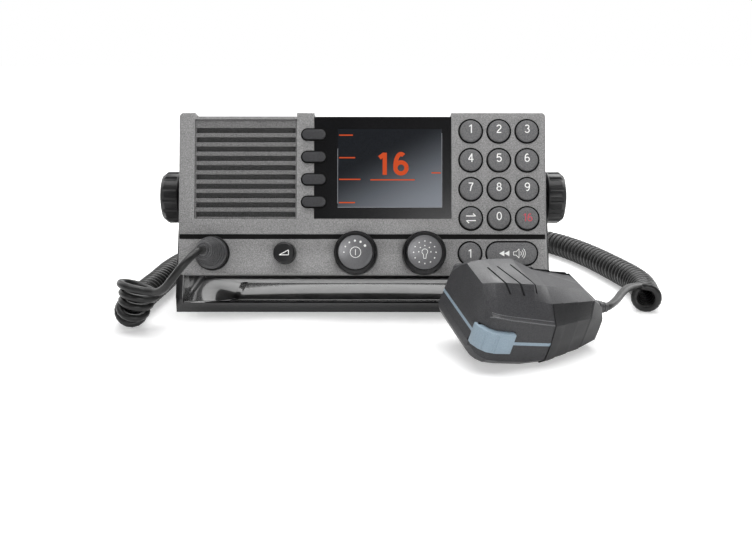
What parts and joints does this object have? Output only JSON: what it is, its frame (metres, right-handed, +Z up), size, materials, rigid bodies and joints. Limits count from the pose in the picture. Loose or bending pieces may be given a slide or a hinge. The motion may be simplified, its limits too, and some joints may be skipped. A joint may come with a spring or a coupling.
{
  "type": "vhf marine radio",
  "caption": "Fixed-mount VHF marine radio with keypad, display and louvred speaker, on a tilting U bracket, with a curly-cord hand microphone lying in front.",
  "frame": {"origin": "centre of the mounting bracket's foot, on the surface it stands on", "axes": "+Z up; the radio's front faces -Y; +X to the right of someone facing it, along the tilt axis"},
  "size_m": [0.3671, 0.3456, 0.1332],
  "materials": {
    "panel": "fine moulded texture",
    "louvre": "fine moulded texture",
    "cloth": "woven",
    "black_plastic": "satin",
    "key_plastic": "satin",
    "knob_cap": "brushed",
    "window": "polished",
    "lcd": "polished",
    "board": "solder-masked",
    "housing": "powder coated",
    "bracket": "powder coated",
    "rubber": "matte",
    "steel": "brushed",
    "brass": "plated",
    "accent": "satin",
    "driver": "matte"
  },
  "bodies": {
    "bracket": {"mounting_bracket": "bracket", "handset_back_shell": "black_plastic", "handset_front_shell": "black_plastic", "handset_seam": "accent", "handset_grip": "rubber", "handset_speaker": "driver", "hang_stud": "steel", "cord_boot": "rubber", "cord_tail_front": "rubber", "cord_coil": "rubber", "cord_tail_handset": "rubber"},
    "radio": {"front_panel": "panel", "speaker_grille": "louvre", "speaker_cloth": "cloth", "speaker_driver": "driver", "display_window": "window", "lcd_module": "lcd", "control_board": "board", "main_board": "board", "rear_housing": "housing", "panel_gasket": "rubber", "antenna_socket": "brass", "power_inlet": "black_plastic", "mic_socket": "black_plastic", "mic_plug": "rubber", "housing_screws": "steel", "tilt_washers": "rubber"},
    "talk_key": {"talk_key": "accent"},
    "clamp_left": {"clamp_knob_left": "black_plastic", "clamp_stud_left": "steel"},
    "clamp_right": {"clamp_knob_right": "black_plastic", "clamp_stud_right": "steel"},
    "volume_push": {"volume_shaft": "steel"},
    "volume_turn": {"volume_knob": "black_plastic", "volume_cap": "knob_cap"},
    "select_push": {"select_shaft": "steel"},
    "select_turn": {"select_knob": "black_plastic", "select_cap": "knob_cap"},
    "squelch": {"squelch_knob": "key_plastic"},
    "key_0": {"key_0": "key_plastic"},
    "key_1": {"key_1": "key_plastic"},
    "key_2": {"key_2": "key_plastic"},
    "key_3": {"key_3": "key_plastic"},
    "key_4": {"key_4": "key_plastic"},
    "key_5": {"key_5": "key_plastic"},
    "key_6": {"key_6": "key_plastic"},
    "key_7": {"key_7": "key_plastic"},
    "key_8": {"key_8": "key_plastic"},
    "key_9": {"key_9": "key_plastic"},
    "key_watch": {"key_watch": "key_plastic"},
    "key_call": {"key_call": "key_plastic"},
    "key_power_level": {"key_power_level": "key_plastic"},
    "key_replay": {"key_replay": "key_plastic"},
    "soft_key_1": {"soft_key_1": "key_plastic"},
    "soft_key_2": {"soft_key_2": "key_plastic"},
    "soft_key_3": {"soft_key_3": "key_plastic"},
    "soft_key_4": {"soft_key_4": "key_plastic"}
  },
  "joints": [
    {"name": "radio_tilt", "type": "hinge", "parent": "bracket", "child": "radio", "pos_m": [0, 0, 0.072], "axis": [-1, 0, 0], "range_deg": [-26, 22], "deforming": ["cord_tail_front"]},
    {"name": "clamp_left_turn", "type": "hinge", "parent": "radio", "child": "clamp_left", "pos_m": [-0.13, 0, 0.072], "axis": [-1, 0, 0], "range_deg": [0, 360]},
    {"name": "clamp_right_turn", "type": "hinge", "parent": "radio", "child": "clamp_right", "pos_m": [0.13, 0, 0.072], "axis": [1, 0, 0], "range_deg": [0, 360]},
    {"name": "talk_key_press", "type": "slide", "parent": "bracket", "child": "talk_key", "axis": [-0.307, 0.9046, 0.2958], "range_m": [0, 0.0015], "stiffness_N_per_m": 600, "springref_m": -0.001},
    {"name": "key_0_press", "type": "slide", "parent": "radio", "child": "key_0", "axis": [0, 0.9613, -0.2756], "range_m": [0, 0.0012], "stiffness_N_per_m": 500, "springref_m": -0.0008},
    {"name": "key_1_press", "type": "slide", "parent": "radio", "child": "key_1", "axis": [0, 0.9613, -0.2756], "range_m": [0, 0.0012], "stiffness_N_per_m": 500, "springref_m": -0.0008},
    {"name": "key_2_press", "type": "slide", "parent": "radio", "child": "key_2", "axis": [0, 0.9613, -0.2756], "range_m": [0, 0.0012], "stiffness_N_per_m": 500, "springref_m": -0.0008},
    {"name": "key_3_press", "type": "slide", "parent": "radio", "child": "key_3", "axis": [0, 0.9613, -0.2756], "range_m": [0, 0.0012], "stiffness_N_per_m": 500, "springref_m": -0.0008},
    {"name": "key_4_press", "type": "slide", "parent": "radio", "child": "key_4", "axis": [0, 0.9613, -0.2756], "range_m": [0, 0.0012], "stiffness_N_per_m": 500, "springref_m": -0.0008},
    {"name": "key_5_press", "type": "slide", "parent": "radio", "child": "key_5", "axis": [0, 0.9613, -0.2756], "range_m": [0, 0.0012], "stiffness_N_per_m": 500, "springref_m": -0.0008},
    {"name": "key_6_press", "type": "slide", "parent": "radio", "child": "key_6", "axis": [0, 0.9613, -0.2756], "range_m": [0, 0.0012], "stiffness_N_per_m": 500, "springref_m": -0.0008},
    {"name": "key_7_press", "type": "slide", "parent": "radio", "child": "key_7", "axis": [0, 0.9613, -0.2756], "range_m": [0, 0.0012], "stiffness_N_per_m": 500, "springref_m": -0.0008},
    {"name": "key_8_press", "type": "slide", "parent": "radio", "child": "key_8", "axis": [0, 0.9613, -0.2756], "range_m": [0, 0.0012], "stiffness_N_per_m": 500, "springref_m": -0.0008},
    {"name": "key_9_press", "type": "slide", "parent": "radio", "child": "key_9", "axis": [0, 0.9613, -0.2756], "range_m": [0, 0.0012], "stiffness_N_per_m": 500, "springref_m": -0.0008},
    {"name": "key_watch_press", "type": "slide", "parent": "radio", "child": "key_watch", "axis": [0, 0.9613, -0.2756], "range_m": [0, 0.0012], "stiffness_N_per_m": 500, "springref_m": -0.0008},
    {"name": "key_call_press", "type": "slide", "parent": "radio", "child": "key_call", "axis": [0, 0.9613, -0.2756], "range_m": [0, 0.0012], "stiffness_N_per_m": 500, "springref_m": -0.0008},
    {"name": "key_power_level_press", "type": "slide", "parent": "radio", "child": "key_power_level", "axis": [0, 0.9613, -0.2756], "range_m": [0, 0.0012], "stiffness_N_per_m": 500, "springref_m": -0.0008},
    {"name": "key_replay_press", "type": "slide", "parent": "radio", "child": "key_replay", "axis": [0, 0.9613, -0.2756], "range_m": [0, 0.0012], "stiffness_N_per_m": 500, "springref_m": -0.0008},
    {"name": "soft_key_1_press", "type": "slide", "parent": "radio", "child": "soft_key_1", "axis": [0, 0.9613, -0.2756], "range_m": [0, 0.0012], "stiffness_N_per_m": 500, "springref_m": -0.0008},
    {"name": "soft_key_2_press", "type": "slide", "parent": "radio", "child": "soft_key_2", "axis": [0, 0.9613, -0.2756], "range_m": [0, 0.0012], "stiffness_N_per_m": 500, "springref_m": -0.0008},
    {"name": "soft_key_3_press", "type": "slide", "parent": "radio", "child": "soft_key_3", "axis": [0, 0.9613, -0.2756], "range_m": [0, 0.0012], "stiffness_N_per_m": 500, "springref_m": -0.0008},
    {"name": "soft_key_4_press", "type": "slide", "parent": "radio", "child": "soft_key_4", "axis": [0, 0.9613, -0.2756], "range_m": [0, 0.0012], "stiffness_N_per_m": 500, "springref_m": -0.0008},
    {"name": "volume_press", "type": "slide", "parent": "radio", "child": "volume_push", "axis": [0, 0.9613, -0.2756], "range_m": [0, 0.0008], "stiffness_N_per_m": 1500, "springref_m": -0.0008},
    {"name": "volume_turn", "type": "hinge", "parent": "volume_push", "child": "volume_turn", "pos_m": [-0.004, -0.06456, 0.0464], "axis": [0, 0.9613, -0.2756], "continuous": true},
    {"name": "select_press", "type": "slide", "parent": "radio", "child": "select_push", "axis": [0, 0.9613, -0.2756], "range_m": [0, 0.0008], "stiffness_N_per_m": 1500, "springref_m": -0.0008},
    {"name": "select_turn", "type": "hinge", "parent": "select_push", "child": "select_turn", "pos_m": [0.0404, -0.06456, 0.0464], "axis": [0, 0.9613, -0.2756], "continuous": true},
    {"name": "squelch_turn", "type": "hinge", "parent": "radio", "child": "squelch", "pos_m": [-0.0503, -0.05975, 0.04502], "axis": [0, 0.9613, -0.2756], "range_deg": [-150, 150]}
  ]
}
